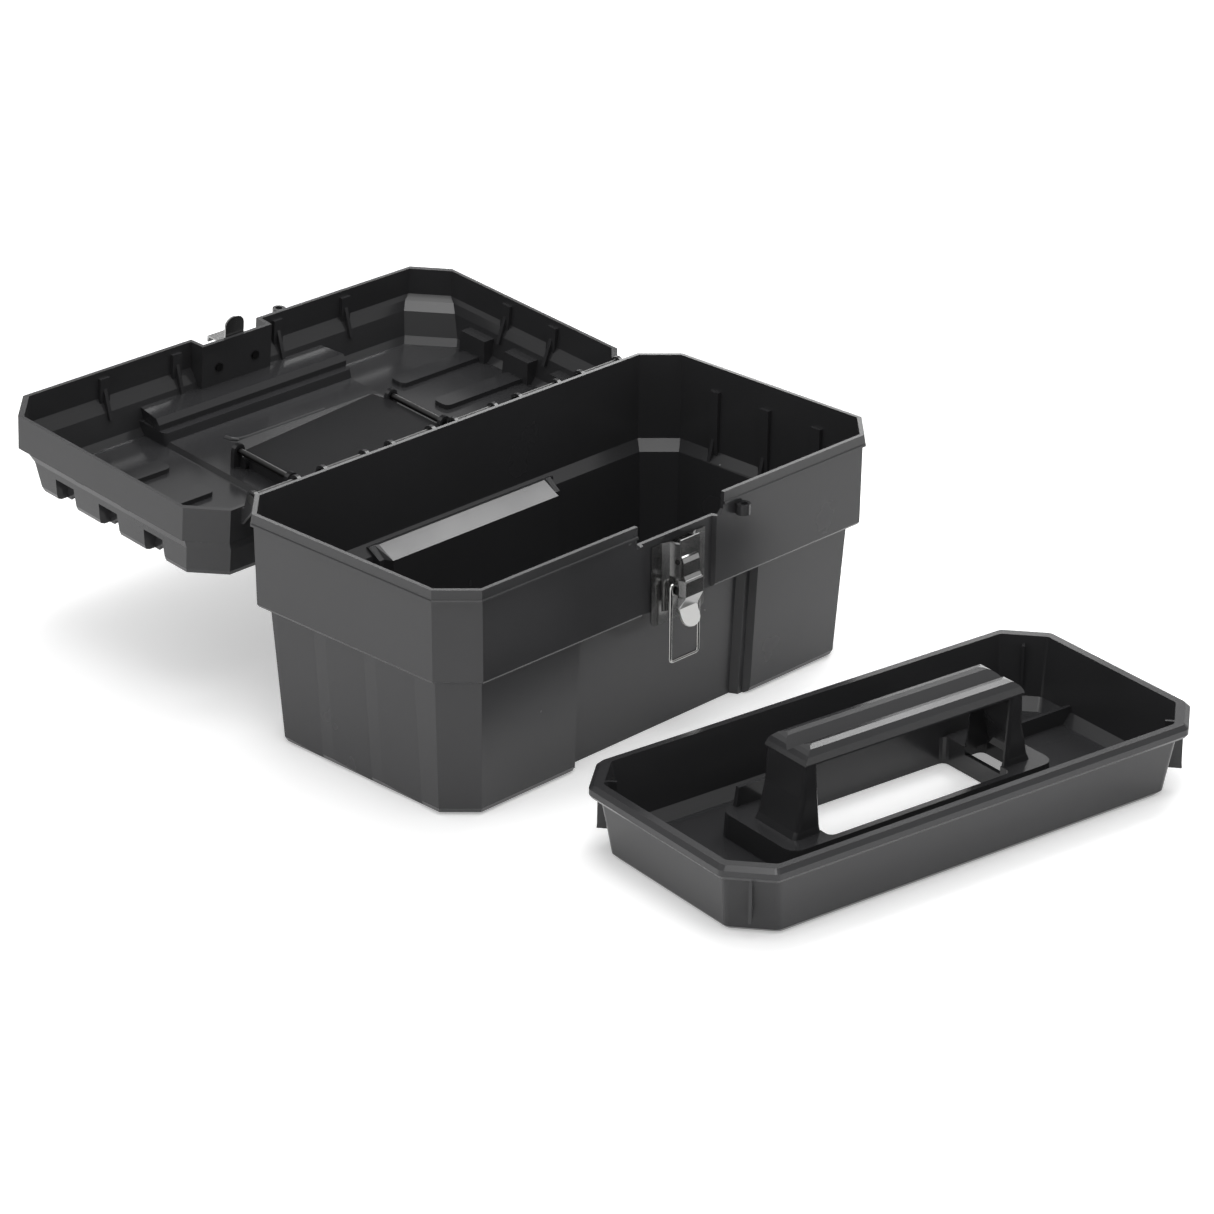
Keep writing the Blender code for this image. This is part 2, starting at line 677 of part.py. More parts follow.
def lid_inside(bm):
    sections = [
        (LID_RIM - 3.0, lid_outline(177.3, 92.6, 92.6, 250.2, 250.2)),
        (164.2, lid_outline(176.9, 92.2, 92.2, 249.6, 249.6)),
        (167.0, lid_outline(174.9, 90.0, 91.2, 242.6, 248.0)),
        (172.4, lid_outline(172.4, 86.8, 90.6, 235.8, 246.4)),
        (LID_TOP - 6.5, lid_outline(170.2, 81.8, 88.0, 227.6, 242.0)),
        (LID_TOP - WALL, lid_outline(166.6, 78.2, 84.6, 220.6, 236.6)),
    ]
    add_stack(bm, sections)


NOTCHES = (-36.5, 3.5, 44.7)           # notches between the end pads, along Y
NOTCH_HALF = 9.4
NOTCH_DEPTH_X = 165.5                  # how far in from the end the notches reach
GROOVE_HALF = 6.0
GROOVE_INNER = 99.0                    # inner, rounded end of the shallow grooves
FRONT_PAD_INNER = 75.5
MIDDLE_EDGE = 78.0                     # half length of the lowered middle


def end_notches(wall):
    """Notches in both end walls and the shallow grooves that run on from them."""
    def build(bm):
        for side in (-1.0, 1.0):
            for line in NOTCHES:
                half = NOTCH_HALF + wall
                low, high = sorted((side * (NOTCH_DEPTH_X - wall), side * 190.0))
                foot = rectangle(low, high, line - half + 1.0, line + half - 1.0)
                head = rectangle(low, high, line - half, line + half)
                add_stack(bm, [(LID_SHELF - wall, foot), (LID_TOP + 4.0, head)])
    return build


def end_grooves(wall):
    def build(bm):
        for side in (-1.0, 1.0):
            for line in NOTCHES:
                half = GROOVE_HALF + wall * 0.6
                low, high = sorted((side * (GROOVE_INNER - wall), side * (NOTCH_DEPTH_X + 2.0)))
                foot = rounded(rectangle(low, high, line - half + 1.0, line + half - 1.0), 4.0)
                head = rounded(rectangle(low, high, line - half, line + half), 4.6)
                add_stack(bm, [(LID_GROOVE - wall, foot), (LID_TOP + 4.0, head)])
    return build


def lid_middle(wall):
    """The middle of the lid lies a little lower than the two end areas."""
    def build(bm):
        edge = MIDDLE_EDGE + wall
        foot = rectangle(-edge + 5.0, edge - 5.0, -110.0, 78.0 + wall)
        head = rectangle(-edge - 2.0, edge + 2.0, -110.0, 82.0 + wall)
        add_stack(bm, [(LID_CENTRE - wall, foot), (LID_TOP + 4.0, head)])
    return build


def lid_front(wall):
    """The lowered front between the two front pads, stepping up to the middle."""
    def build(bm):
        shelf_half = FRONT_PAD_INNER + wall
        back = -70.0 + wall
        foot = [
            (-shelf_half + 7.0, -110.0), (shelf_half - 7.0, -110.0),
            (shelf_half, back), (-shelf_half, back),
        ]
        head = [(x, y + 3.0 if y > -100.0 else y) for x, y in foot]
        levels = [(LID_SHELF - wall, foot), (LID_SHELF - wall + 3.6, head), (LID_TOP + 4.0, head)]
        add_stack(bm, levels)
        ledge_back = -61.5 + wall
        foot = rounded(rectangle(-shelf_half, shelf_half, -90.0, ledge_back), 3.0)
        head = rounded(rectangle(-shelf_half, shelf_half, -90.0, ledge_back + 5.0), 3.0)
        add_stack(bm, [(185.6 - wall, foot), (LID_TOP + 4.0, head)])
    return build


CENTRE_FLOOR = LID_CENTRE - WALL       # inner face of the middle


CATCH_HALF = 26.0
CATCH_FACE = -84.5
CATCH_ROOF = 174.5


def catch_recess(wall):
    """Pocket in the lid front that takes the steel catch, grown by a wall."""
    def build(bm):
        half = CATCH_HALF + wall
        face = CATCH_FACE + wall
        outline = [(-half - 1.5, -103.0), (-half, face), (half, face), (half + 1.5, -103.0)]
        add_stack(bm, [(LID_RIM - 6.0, outline), (CATCH_ROOF + wall, outline)])
    return build


HANDLE_RECESS_HALF = 57.5
HANDLE_RECESS_FRONT = -15.5
HANDLE_RECESS_REAR = 46.5
HANDLE_RECESS_FLOOR = 181.0


def handle_recess(wall):
    """Pocket in the top of the lid that the folded handle lies in."""
    def build(bm):
        half = HANDLE_RECESS_HALF + wall
        front = HANDLE_RECESS_FRONT - wall
        rear = HANDLE_RECESS_REAR + wall
        foot = rounded(rectangle(-half, half, front, rear), 4.0 + wall)
        add_stack(bm, [(HANDLE_RECESS_FLOOR - wall, foot), (LID_TOP + 9.0, foot)])
    return build


LID_POSTS = (-100.0, -42.0, 42.0, 100.0)


def lid_posts(bm):
    """Posts with gusset feet on the inner front and end walls of the lid."""
    for along in LID_POSTS:
        post = rectangle(along - POST_HALF, along + POST_HALF, -93.4, -90.0)
        add_stack(bm, [(LID_RIM + 4.0, post), (170.0, post)])
        fin = [(-93.0, 156.0), (-90.6, 156.0), (-83.4, 176.6), (-86.6, 176.6), (-92.8, 168.0)]
        add_stack(bm, [(along - 1.2, fin), (along + 1.2, fin)], axes="yzx")
    for side in (-1.0, 1.0):
        for along in (-20.0, 22.0):
            x_low, x_high = sorted((side * 174.6, side * 178.0))
            post = rectangle(x_low, x_high, along - POST_HALF, along + POST_HALF)
            add_stack(bm, [(LID_RIM + 4.0, post), (170.0, post)])
            fin = [(177.8, 156.0), (175.4, 156.0), (169.0, 176.6), (172.4, 176.6), (177.6, 168.0)]
            outline = [(side * x, z) for x, z in fin]
            add_stack(bm, [(along - 1.2, outline), (along + 1.2, outline)], axes="xzy")


LUG_THICK = 2.6
LUG_RADIUS = 5.0


def hinge_lugs(bm):
    """Pairs of lugs that carry the ends of each hinge pin behind the rear rim."""
    for centre in HINGE_PIN_CENTRES:
        for side in (-1.0, 1.0):
            outer = centre + side * (HINGE_PIN_LENGTH / 2.0 - 0.6)
            inner = outer - side * LUG_THICK
            low, high = sorted((inner, outer))
            outline = []
            for step in range(9):
                angle = math.radians(-150.0 + step * 25.0)
                outline.append((HINGE_Y + LUG_RADIUS * math.cos(angle),
                                HINGE_Z + LUG_RADIUS * math.sin(angle)))
            outline += [(95.6, 158.0), (93.2, 158.0), (93.2, LID_RIM + 0.4), (97.0, LID_RIM + 0.4)]
            add_stack(bm, [(low, outline), (high, outline)], axes="yzx")


def hinge_lug_bores(bm):
    for centre in HINGE_PIN_CENTRES:
        half = HINGE_PIN_LENGTH / 2.0 + 4.0
        add_cylinder(bm, HINGE_PIN_RADIUS + GAP, (centre - half, HINGE_Y, HINGE_Z),
                     (centre + half, HINGE_Y, HINGE_Z))


ROD_X = 63.6
ROD_Z = 177.6
ROD_RADIUS = 2.0
ROD_FRONT = -9.0
ROD_REAR = 42.0


def rod_lugs(bm):
    """Arch-topped lugs beside the handle pocket that hold the two steel rods."""
    for side in (-1.0, 1.0):
        for along in (ROD_FRONT + 1.5, ROD_REAR - 1.5):
            outline = [(side * (ROD_X + 4.4), CENTRE_FLOOR + 1.0)]
            for step in range(7):
                angle = math.radians(step * 30.0)
                outline.append((side * (ROD_X + 4.4 * math.cos(angle)), ROD_Z - 4.4 * math.sin(angle)))
            outline.append((side * (ROD_X - 4.4), CENTRE_FLOOR + 1.0))
            add_stack(bm, [(along - 1.5, outline), (along + 1.5, outline)], axes="xzy")


def rod_bores(bm):
    for side in (-1.0, 1.0):
        add_cylinder(bm, ROD_RADIUS + GAP, (side * ROD_X, ROD_FRONT - 3.0, ROD_Z),
                     (side * ROD_X, ROD_REAR + 3.0, ROD_Z))


def handle_bosses(bm):
    """Round bosses inside the lid, behind the ends of the handle's two pins."""
    for side in (-1.0, 1.0):
        add_cylinder(bm, 6.6, (side * 58.6, HANDLE_AXIS_Y, HANDLE_AXIS_Z - 0.6),
                     (side * 63.0, HANDLE_AXIS_Y, HANDLE_AXIS_Z - 0.6), 28)


def handle_pin_bores(bm):
    for side in (-1.0, 1.0):
        add_cylinder(bm, 2.0 + GAP, (side * 56.0, HANDLE_AXIS_Y, HANDLE_AXIS_Z),
                     (side * 61.4, HANDLE_AXIS_Y, HANDLE_AXIS_Z))


def lid_beads(bm):
    """Hooked stiffening bead on the inner face of the middle of the lid."""
    route = [(31.0, -33.0), (-34.0, -33.0), (-39.5, -34.0), (-42.5, -37.0), (-43.5, -41.5)]
    points = [Vector((x, y, CENTRE_FLOOR + 0.2)) for x, y in route]
    add_tube(bm, points, 1.9, 10)


def lid_padlock_eye(bm):
    add_cylinder(bm, PADLOCK_RADIUS, (PADLOCK_X, -98.4, 147.4), (PADLOCK_X, -98.4, 156.0), 16)
    add_box(bm, (PADLOCK_X - 3.0, -98.4, 147.4), (PADLOCK_X + 3.0, -94.0, 156.0))


def lid_padlock_bore(bm):
    add_cylinder(bm, 2.3, (PADLOCK_X, -98.9, 140.0), (PADLOCK_X, -98.9, 160.0), 16)


CATCH_RIVETS = (-15.0, 15.0)
CATCH_RIVET_Z = 164.0


def catch_rivet_holes(bm):
    for x in CATCH_RIVETS:
        add_cylinder(bm, RIVET_RADIUS + GAP, (x, -92.0, CATCH_RIVET_Z), (x, -78.0, CATCH_RIVET_Z), 16)


def make_lid():
    shell = lid_piece("lid_shell", lid_outside, BLACK_LID)
    inside = lid_tool("lid_cavity", lid_inside)
    for name, build in (
        ("end_notches", end_notches),
        ("end_grooves", end_grooves),
        ("lid_middle", lid_middle),
        ("lid_front", lid_front),
        ("catch_recess", catch_recess),
        ("handle_recess", handle_recess),
    ):
        boolean(inside, lid_tool(name + "_grown", build(WALL)))
        boolean(shell, lid_tool(name + "_cut", build(0.0)))
    boolean(shell, inside)
    for name, build in (
        ("lid_post_blocks", lid_posts),
        ("hinge_lug_blocks", hinge_lugs),
        ("rod_lug_blocks", rod_lugs),
        ("handle_boss_blocks", handle_bosses),
        ("lid_bead_blocks", lid_beads),
        ("lid_padlock_block", lid_padlock_eye),
    ):
        boolean(shell, lid_tool(name, build), "UNION")
    for name, build in (
        ("hinge_lug_bores", hinge_lug_bores),
        ("rod_bores", rod_bores),
        ("handle_pin_bores", handle_pin_bores),
        ("lid_padlock_bore", lid_padlock_bore),
        ("catch_rivet_holes", catch_rivet_holes),
    ):
        boolean(shell, lid_tool(name, build))
    return shell


def make_lid_hardware():
    for number, centre in enumerate(HINGE_PIN_CENTRES, start=1):
        def pin(bm, middle=centre):
            half = HINGE_PIN_LENGTH / 2.0
            add_cylinder(bm, HINGE_PIN_RADIUS, (middle - half, HINGE_Y, HINGE_Z),
                         (middle + half, HINGE_Y, HINGE_Z))
        round_shade(lid_piece("hinge_pin_%d" % number, pin, STEEL))
    for name, side in (("left", -1.0), ("right", 1.0)):
        def rod(bm, turn=side):
            add_cylinder(bm, ROD_RADIUS, (turn * ROD_X, ROD_FRONT - 0.6, ROD_Z),
                         (turn * ROD_X, ROD_REAR + 0.6, ROD_Z), 20)
        round_shade(lid_piece("handle_rod_" + name, rod, STEEL))

        def handle_pin(bm, turn=side):
            add_cylinder(bm, 2.0, (turn * 45.5, HANDLE_AXIS_Y, HANDLE_AXIS_Z),
                         (turn * 60.9, HANDLE_AXIS_Y, HANDLE_AXIS_Z), 20)
        round_shade(lid_piece("handle_pin_" + name, handle_pin, STEEL))


def lid_catch(bm):
    """Steel catch: plate, rounded tongue and the hook that the bail pulls on."""
    back = CATCH_FACE - GAP
    front = back - 1.2
    plate = rounded(rectangle(-21.0, 21.0, 150.5, 172.0), 2.0)
    add_stack(bm, [(back, plate), (front, plate)], axes="xzy")


def catch_tongue(bm):
    back = CATCH_FACE - GAP
    tongue = [(-7.6, 160.0), (-7.6, 140.0)]
    for step in range(9):
        angle = math.radians(180.0 + step * 22.5)
        tongue.append((7.6 * math.cos(angle), 140.0 + 5.6 * math.sin(angle)))
    tongue += [(7.6, 140.0), (7.6, 160.0)]
    tongue = [tongue[0]] + tongue[2:-2] + [tongue[-1]]
    add_stack(bm, [(back - 0.1, tongue), (back - 1.3, tongue)], axes="xzy")


def catch_hook(bm):
    """Upturned hook on the catch plate, and its two side flanks."""
    front = CATCH_FACE - GAP - 1.2
    outline = [
        (front + 0.6, 150.6), (-99.6, 150.6), (-100.4, 151.4), (-100.4, 155.0), (-99.4, 155.0),
        (-99.0, 151.9), (-97.6, 151.6), (front - 1.5, 151.6), (front - 0.6, 160.0), (front + 0.6, 160.0),
    ]
    add_stack(bm, [(-9.0, outline), (9.0, outline)], axes="yzx")


def catch_bores(bm):
    for x in CATCH_RIVETS:
        add_cylinder(bm, RIVET_RADIUS + GAP, (x, -92.0, CATCH_RIVET_Z), (x, -78.0, CATCH_RIVET_Z), 16)


def make_catch():
    catch = lid_piece("lid_catch", lid_catch, NICKEL)
    boolean(catch, lid_tool("catch_tongue_block", catch_tongue), "UNION")
    boolean(catch, lid_tool("catch_hook_block", catch_hook), "UNION")
    boolean(catch, lid_tool("catch_bores", catch_bores))
    for name, x in zip(("left", "right"), CATCH_RIVETS):
        def rivet(bm, middle=x):
            face = CATCH_FACE - GAP - 1.2
            inner = CATCH_FACE + WALL
            profile = [
                (3.0, face - 1.1), (3.0, face - GAP), (RIVET_RADIUS, face - GAP),
                (RIVET_RADIUS, inner + GAP), (2.8, inner + GAP), (2.8, inner + 1.3),
            ]
            add_turned_y(bm, (middle, CATCH_RIVET_Z), profile)
        round_shade(lid_piece("catch_rivet_" + name, rivet, STEEL))


def make_handle():
    """Folding carry handle; it hangs straight down while the lid lies open."""
    pivot = bpy.data.objects.new("handle_pivot", None)
    parts.objects.link(pivot)
    pivot.parent = lid_pivot
    pivot.location = (0.0, (HANDLE_AXIS_Y - HINGE_Y) * MM, (HANDLE_AXIS_Z - HINGE_Z) * MM)
    pivot.rotation_euler = (-math.radians(180.0 - LID_OPEN_ANGLE), 0.0, 0.0)
    half_thick = 4.2

    def build(bm):
        reach = HANDLE_REACH
        outer = HANDLE_ARM_X + 5.8
        inner = HANDLE_ARM_X - 5.0
        outline = [
            (outer, -3.0), (outer, reach - 4.0), (outer - 9.0, reach + 7.0),
            (-outer + 9.0, reach + 7.0), (-outer, reach - 4.0), (-outer, -3.0),
            (-inner, -3.0), (-inner, reach - 13.0), (-inner + 6.0, reach - 7.0),
            (inner - 6.0, reach - 7.0), (inner, reach - 13.0), (inner, -3.0),
        ]
        soft = 1.8
        smaller = rounded(outline, 2.0, 2)
        middle = [(x * 0.99, z) for x, z in smaller]
        add_stack(bm, [(-half_thick, middle), (-half_thick + soft, smaller),
                       (half_thick - soft, smaller), (half_thick, middle)], axes="xzy")
    handle = solid("carry_handle", build, parts, BLACK_HANDLE, parent=pivot)

    def bores(bm):
        for side in (-1.0, 1.0):
            add_cylinder(bm, 2.0 + GAP, (side * 42.0, 0.0, 0.0), (side * 62.0, 0.0, 0.0))
    boolean(handle, solid("handle_bores", bores, cutters, parent=pivot))


# ---- Tray ---------------------------------------------------------------------------
TRAY_SHEET = 2.2
TRAY_FOOT = (159.6, 71.6, 20.0)
TRAY_NECK = (164.8, 76.2, 21.2)
SKIRT_FOOT = 37.3
WELL_WALL = 17.0
WELL_HALF = 64.0
WELL_FRONT = -24.5
WELL_REAR = 33.0
PEDESTAL_HALF = 96.0
GRIP_TOP = 69.0
GRIP_HALF = 80.0


def tray_outside(bm):
    rounding = 5.0
    sections = [
        (0.0, rounded(octagon(TRAY_FOOT[0] - 2.6, TRAY_FOOT[1] - 2.6, TRAY_FOOT[2]), rounding)),
        (2.8, rounded(octagon(*TRAY_FOOT), rounding)),
        (SKIRT_FOOT, rounded(octagon(*TRAY_NECK), rounding)),
        (SKIRT_FOOT + 0.1, rounded(octagon(TRAY_HALF_LENGTH - 1.2, TRAY_HALF_WIDTH - 1.2, 21.6), rounding)),
        (SKIRT_FOOT + 2.0, rounded(octagon(TRAY_HALF_LENGTH, TRAY_HALF_WIDTH, TRAY_CORNER), rounding)),
        (TRAY_HEIGHT - 2.4, rounded(octagon(TRAY_HALF_LENGTH, TRAY_HALF_WIDTH, TRAY_CORNER), rounding)),
        (TRAY_HEIGHT, rounded(octagon(TRAY_HALF_LENGTH - 2.4, TRAY_HALF_WIDTH - 2.4, 21.2), rounding)),
    ]
    add_stack(bm, sections)


def tray_inside(bm):
    rounding = 4.0
    foot = (TRAY_FOOT[0] - 8.0, TRAY_FOOT[1] - 8.0, 17.0)
    low = (TRAY_FOOT[0] - 1.6, TRAY_FOOT[1] - 1.6, 17.8)
    high = (TRAY_NECK[0] - 1.6, TRAY_NECK[1] - 1.6, 20.0)
    sections = [
        (TRAY_SHEET, rounded(octagon(*foot), rounding)),
        (TRAY_SHEET + 6.0, rounded(octagon(*low), rounding)),
        (TRAY_HEIGHT + 2.0, rounded(octagon(*high), rounding)),
    ]
    add_stack(bm, sections)


def skirt_hollow(bm):
    """Ring-shaped gap under the rolled rim: an outer band less the tray wall."""
    rounding = 4.0
    band = rounded(octagon(TRAY_HALF_LENGTH - 2.0, TRAY_HALF_WIDTH - 2.0, 21.4), rounding)
    add_stack(bm, [(SKIRT_FOOT - 3.0, band), (TRAY_HEIGHT - 3.2, band)])


def skirt_core(bm):
    rounding = 5.0
    low = rounded(octagon(TRAY_NECK[0] + 0.2, TRAY_NECK[1] + 0.2, TRAY_NECK[2]), rounding)
    add_stack(bm, [(SKIRT_FOOT - 6.0, low), (TRAY_HEIGHT + 1.0, low)])


def corner_fins(bm):
    """Diagonal fins under the rim at the four cut corners."""
    for x_side in (-1.0, 1.0):
        for y_side in (-1.0, 1.0):
            across = Vector((x_side, y_side)).normalized()
            aside = Vector((-across.y, across.x)) * 0.9
            middle = Vector((x_side * (TRAY_NECK[0] - TRAY_NECK[2] / 2.0),
                             y_side * (TRAY_NECK[1] - TRAY_NECK[2] / 2.0)))
            sections = []
            for z, reach in ((11.0, 4.2), (14.0, 3.9), (SKIRT_FOOT + 3.0, 3.6)):
                near = middle - across * 7.0
                far = middle + across * reach
                sections.append((z, [tuple(near - aside), tuple(far - aside),
                                     tuple(far + aside), tuple(near + aside)]))
            add_stack(bm, sections)


def pedestal(bm):
    """Raised ring round the well, on which the handle's pillars stand."""
    foot = rounded(rectangle(-PEDESTAL_HALF - 0.6, PEDESTAL_HALF + 0.6, -29.2, WELL_REAR + 4.2), 8.0)
    head = rounded(rectangle(-PEDESTAL_HALF, PEDESTAL_HALF, -28.5, WELL_REAR + 3.4), 8.0)
    add_stack(bm, [(1.0, foot), (WELL_WALL, head)])


def rear_wall(bm):
    """Taller wall behind the well."""
    foot = rectangle(-PEDESTAL_HALF + 8.0, PEDESTAL_HALF - 8.0, WELL_REAR, WELL_REAR + 3.8)
    head = rectangle(-PEDESTAL_HALF + 11.0, PEDESTAL_HALF - 11.0, WELL_REAR, WELL_REAR + 2.6)
    add_stack(bm, [(6.0, foot), (28.7, head)])


def divider(bm):
    """Low ridge that splits the right-hand compartment."""
    foot = rectangle(PEDESTAL_HALF - 4.0, TRAY_FOOT[0] - 1.0, 26.0, 30.0)
    head = rectangle(PEDESTAL_HALF - 4.0, TRAY_FOOT[0] + 1.0, 26.8, 29.2)
    add_stack(bm, [(1.0, foot), (12.0, head)])


def well(bm):
    """Through opening under the handle."""
    foot = rounded(rectangle(-WELL_HALF - 2.0, WELL_HALF + 2.0, WELL_FRONT, WELL_REAR), 4.0)
    add_stack(bm, [(-2.0, foot), (34.0, foot)])


def pedestal_hollows(bm):
    """Undersides of the two pillar feet, open downwards."""
    for side in (-1.0, 1.0):
        low, high = sorted((side * (WELL_HALF + 5.0), side * (PEDESTAL_HALF - 3.0)))
        foot = rounded(rectangle(low, high, -25.5, 30.5), 4.0)
        add_stack(bm, [(-1.0, foot), (WELL_WALL - 2.4, foot)])


def grip_profile(width, top, depth, valley):
    """Cross-section of the grip: a trough between two round lobes, in YZ."""
    lobe = 8.0
    outline = []
    for angle in (180.0, 150.0, 120.0, 90.0, 65.0, 42.0):
        outline.append((lobe - width + lobe * math.cos(math.radians(angle)),
                        top - lobe + lobe * math.sin(math.radians(angle))))
    mirrored = [(-y, z) for y, z in reversed(outline)]
    return outline + [(0.0, top - valley)] + mirrored + [(width, top - depth), (-width, top - depth)]


def grip_ends(bm):
    """Cutters that round the grip down into its pillars."""
    radius = 11.5
    for side in (-1.0, 1.0):
        outline = [(side * (GRIP_HALF + 4.0), GRIP_TOP - radius), (side * (GRIP_HALF + 4.0), GRIP_TOP + 4.0),
                   (side * (GRIP_HALF - radius), GRIP_TOP + 4.0)]
        for step in range(7):
            angle = math.radians(90.0 - 15.0 * step)
            outline.append((side * (GRIP_HALF - radius + radius * math.cos(angle)),
                            GRIP_TOP + 0.02 - radius + radius * math.sin(angle)))
        add_stack(bm, [(-24.0, outline), (24.0, outline)], axes="xzy")


def grip(bm):
    profile = grip_profile(18.0, GRIP_TOP, 9.0, 5.6)
    add_stack(bm, [(-GRIP_HALF, profile), (GRIP_HALF, profile)], axes="yzx")


def pillars(bm):
    """Flared pillars that carry the grip at both ends."""
    for side in (-1.0, 1.0):
        sections = []
        for z, low, high, half in ((WELL_WALL - 2.5, 66.5, 87.5, 18.6), (WELL_WALL + 4.0, 67.5, 84.5, 17.8),
                                   (40.0, 69.0, 80.5, 17.4), (61.5, 70.5, 79.2, 17.7)):
            x_low, x_high = sorted((side * low, side * high))
            sections.append((z, rounded(rectangle(x_low, x_high, -half, half), 2.5)))
        add_stack(bm, sections)


def grip_hollow(bm):
    """Underside of the grip and the inner faces of the pillars, hollowed to a sheet."""
    under = rectangle(-15.4, 15.4, 40.0, GRIP_TOP - 8.4)
    add_stack(bm, [(-66.0, under), (66.0, under)], axes="yzx")
    for side in (-1.0, 1.0):
        sections = []
        for z, low, high in ((12.0, 60.0, 84.9), (WELL_WALL + 4.0, 60.0, 82.0),
                             (40.0, 60.0, 78.0), (55.0, 60.0, 75.5)):
            x_low, x_high = sorted((side * low, side * high))
            sections.append((z, rectangle(x_low, x_high, -15.2, 15.2)))
        add_stack(bm, sections)


def make_tray():
    place = bpy.data.objects.new("tray_place", None)
    parts.objects.link(place)
    place.location = (TRAY_CENTRE[0] * MM, TRAY_CENTRE[1] * MM, 0.0)
    place.rotation_euler = (0.0, 0.0, math.radians(TRAY_TURN))

    def tool(name, build):
        return solid(name, build, cutters, parent=place)

    tray = solid("tray_shell", tray_outside, parts, BLACK_TRAY, parent=place)
    hollow = tool("skirt_hollow", skirt_hollow)
    boolean(hollow, tool("skirt_core", skirt_core))
    boolean(tray, hollow)
    boolean(tray, tool("tray_cavity", tray_inside))
    for name, build in (
        ("corner_fins", corner_fins),
        ("pedestal", pedestal),
        ("rear_wall", rear_wall),
        ("divider", divider),
        ("pillars", pillars),
        ("grip", grip),
    ):
        boolean(tray, tool(name, build), "UNION")
    for name, build in (
        ("grip_ends", grip_ends),
        ("well", well),
        ("pedestal_hollows", pedestal_hollows),
        ("grip_hollow", grip_hollow),
    ):
        boolean(tray, tool(name, build))


make_body()
make_latch()
make_lid()
make_lid_hardware()
make_catch()
make_handle()
make_tray()
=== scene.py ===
"""Looks of the toolbox with tray: finishes, softened edges, floor, light and camera."""
import math

import bmesh
import bpy
from mathutils import Matrix, Vector


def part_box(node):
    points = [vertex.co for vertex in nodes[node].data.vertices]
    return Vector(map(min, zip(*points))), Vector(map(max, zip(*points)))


# Widths of the rounded edges, in metres, and the bends in degrees that get one
HANDLE_EDGE = 0.0008
MOULDED_EDGE = 0.0004
PLATED_EDGE = 0.0004
SMALL_EDGE = 0.0002
MOULDED_BEND = 22.0
HANDLE_BEND = 25.0
METAL_BEND = 35.0
EDGE_SEGMENTS = 2
FLAT_LIMIT = 1.0                       # degrees between faces that count as one flat
FLAT_WEIGHT = 60

TAB_TOP = 0.0885                       # height of the lever's finger tab, in metres
POCKET_DEPTH = 0.004                   # how far the pocket's faces lie under the rods
FACING_UP = 0.9

# Grain and unevenness of the finishes
PLASTIC_INDEX = 1.42
PLASTIC_PATCHES = 14.0
PLASTIC_GRAIN = 900.0
PLASTIC_GRAIN_HEIGHT = 0.00002
METAL_PATCHES = 60.0
METAL_ROUGHNESS_SPREAD = 0.05

FLOOR_HALF = 9.0
FLOOR_DROP = 0.0002
FLOOR_GLOW = 0.3                       # keeps the pale floor near white in the soft shadow

# The viewpoint: angles in degrees, place in metres
CAMERA_PLACE = (-1.64884, -1.63917, 1.12353)
CAMERA_YAW = -45.652
CAMERA_PITCH = 24.689
CAMERA_ROLL = 0.291
CAMERA_LENS = 128.07

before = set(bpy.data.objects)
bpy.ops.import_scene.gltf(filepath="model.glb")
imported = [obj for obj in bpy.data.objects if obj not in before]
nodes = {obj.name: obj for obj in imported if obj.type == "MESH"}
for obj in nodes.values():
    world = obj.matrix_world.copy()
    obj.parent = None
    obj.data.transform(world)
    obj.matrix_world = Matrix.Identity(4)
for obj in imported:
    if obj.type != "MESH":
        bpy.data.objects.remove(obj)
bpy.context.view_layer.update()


# ---- Finishes and painted edge highlights -------------------------------------------
def shader_tree(name):
    """A new material with its node tree and its Principled shader."""
    made = bpy.data.materials.new(name)
    made.use_nodes = True
    tree = made.node_tree
    shader = tree.nodes["Principled BSDF"]
    return made, tree, shader


def noise(tree, scale, detail=3.0, rough=0.5):
    """A noise field in the piece's own coordinates."""
    coords = tree.nodes.new("ShaderNodeTexCoord")
    field = tree.nodes.new("ShaderNodeTexNoise")
    field.inputs["Scale"].default_value = scale
    field.inputs["Detail"].default_value = detail
    field.inputs["Roughness"].default_value = rough
    tree.links.new(coords.outputs["Object"], field.inputs["Vector"])
    return field.outputs["Fac"]


def ramp(tree, factor, low, high, start=0.3, end=0.7):
    """Map a 0-1 field to values between low and high."""
    made = tree.nodes.new("ShaderNodeMapRange")
    made.inputs["From Min"].default_value = start
    made.inputs["From Max"].default_value = end
    made.inputs["To Min"].default_value = low
    made.inputs["To Max"].default_value = high
    tree.links.new(factor, made.inputs["Value"])
    return made.outputs["Result"]


def blend_colour(tree, factor, shader, first, second):
    """Vary the base colour between two tones."""
    mix = tree.nodes.new("ShaderNodeMix")
    mix.data_type = "RGBA"
    mix.inputs["A"].default_value = (*first, 1.0)
    mix.inputs["B"].default_value = (*second, 1.0)
    tree.links.new(factor, mix.inputs["Factor"])
    tree.links.new(mix.outputs["Result"], shader.inputs["Base Color"])


